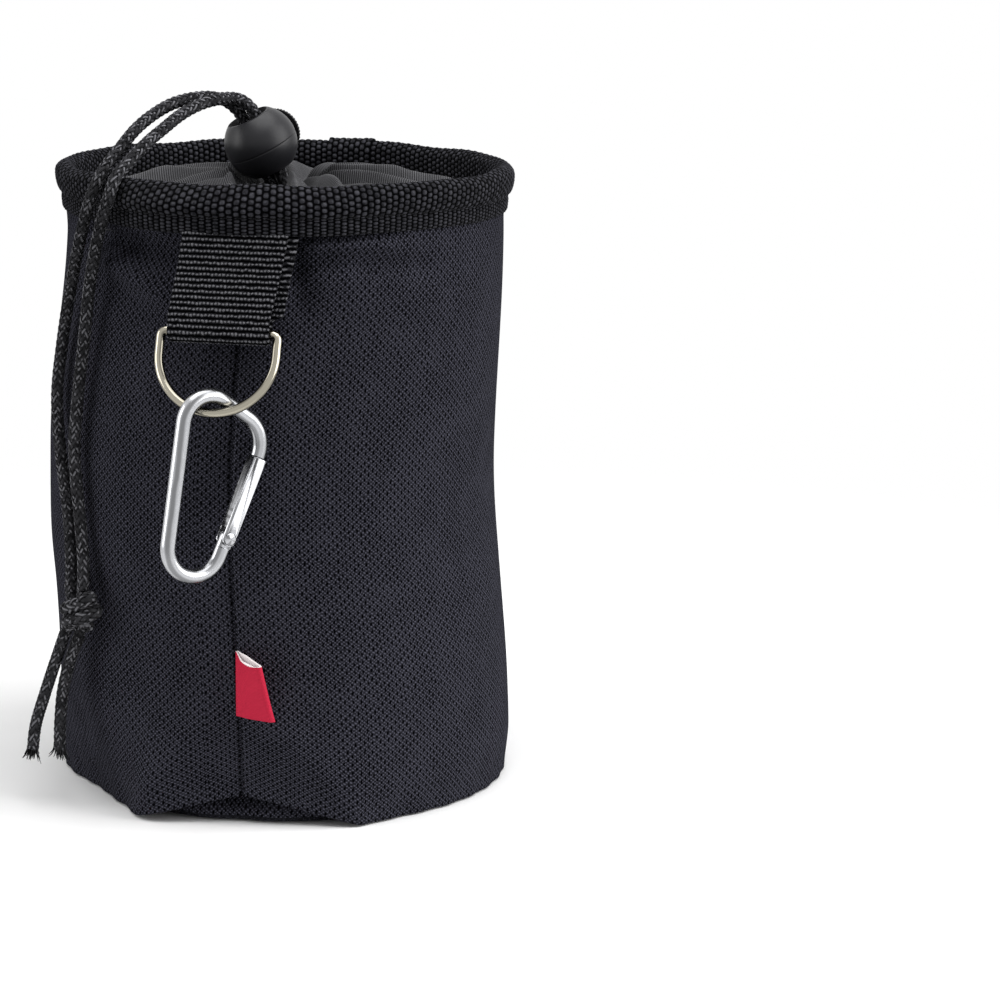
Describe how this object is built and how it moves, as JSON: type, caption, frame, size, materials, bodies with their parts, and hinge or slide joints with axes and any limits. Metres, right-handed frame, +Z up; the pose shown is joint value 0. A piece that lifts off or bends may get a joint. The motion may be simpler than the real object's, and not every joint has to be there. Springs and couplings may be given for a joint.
{
  "type": "peg bag",
  "caption": "Soft cylindrical drawstring peg bag with a bound rim, gathered collar, ball cord lock, knotted cord tails, and a webbing loop carrying a D-ring and a sprung-gate carabiner.",
  "frame": {"origin": "centre of the base panel's underside, on the surface that the bag stands on", "axes": "+Z up through the mouth, -Y out of the front seam that carries the webbing loop, +X to the right of the front"},
  "size_m": [0.1158, 0.134, 0.1729],
  "materials": {
    "cloth": "coarse woven polyester",
    "tape": "woven binding tape",
    "nylon": "thin woven nylon",
    "cord": "round braid",
    "webbing": "ribbed nylon webbing",
    "lock": "satin moulded plastic",
    "aluminium": "bright drawn",
    "nickel": "nickel plated",
    "spring_steel": "plain wire",
    "tab": "woven label tape, plain"
  },
  "bodies": {
    "bag": {"bag_wall": "cloth", "base_panel": "cloth", "rim_binding": "tape", "closure_collar": "nylon", "drawcord_loop": "cord", "drawcord_tail_outer": "cord", "drawcord_tail_inner": "cord", "drawcord_end_outer": "cord", "drawcord_end_inner": "cord", "drawcord_knot": "cord", "webbing_anchor": "webbing", "side_tab": "tab"},
    "cord_lock": {"cord_lock_body": "lock", "cord_lock_spring": "spring_steel"},
    "lock_plunger": {"cord_lock_plunger": "lock"},
    "strap_loop": {"webbing_loop": "webbing"},
    "d_ring": {"d_ring": "nickel"},
    "carabiner": {"carabiner_body": "aluminium", "carabiner_rivet": "aluminium"},
    "carabiner_gate": {"carabiner_gate": "aluminium", "carabiner_gate_spring": "spring_steel"}
  },
  "joints": [
    {"name": "strap_hinge", "type": "hinge", "parent": "bag", "child": "strap_loop", "pos_m": [0, -0.05697, 0.14169], "axis": [-0.9999, -0.0087, 0.0087], "range_deg": [0, 85]},
    {"name": "ring_hinge", "type": "hinge", "parent": "strap_loop", "child": "d_ring", "pos_m": [-0.00316, -0.0592, 0.12083], "axis": [-0.9999, -0.0087, 0.0087], "range_deg": [0, 85]},
    {"name": "carabiner_swing", "type": "hinge", "parent": "d_ring", "child": "carabiner", "pos_m": [-0.00325, -0.06709, 0.10311], "axis": [-0.9999, -0.0087, 0.0087], "range_deg": [0, 75]},
    {"name": "gate_hinge", "type": "hinge", "parent": "carabiner", "child": "carabiner_gate", "pos_m": [-0.00051, -0.06434, 0.07302], "axis": [0.6756, -0.7373, -0.0058], "range_deg": [0, 25], "stiffness_Nm_per_rad": 0.04, "springref_deg": -20.05},
    {"name": "lock_slide", "type": "slide", "parent": "bag", "child": "cord_lock", "axis": [-0.3822, -0.0812, 0.9205], "range_m": [-0.0015, 0]},
    {"name": "plunger_press", "type": "slide", "parent": "cord_lock", "child": "lock_plunger", "axis": [-0.2078, -0.9631, -0.1713], "range_m": [0, 0.0022], "stiffness_N_per_m": 900, "springref_m": -0.002, "deforming": ["cord_lock_spring"]}
  ]
}
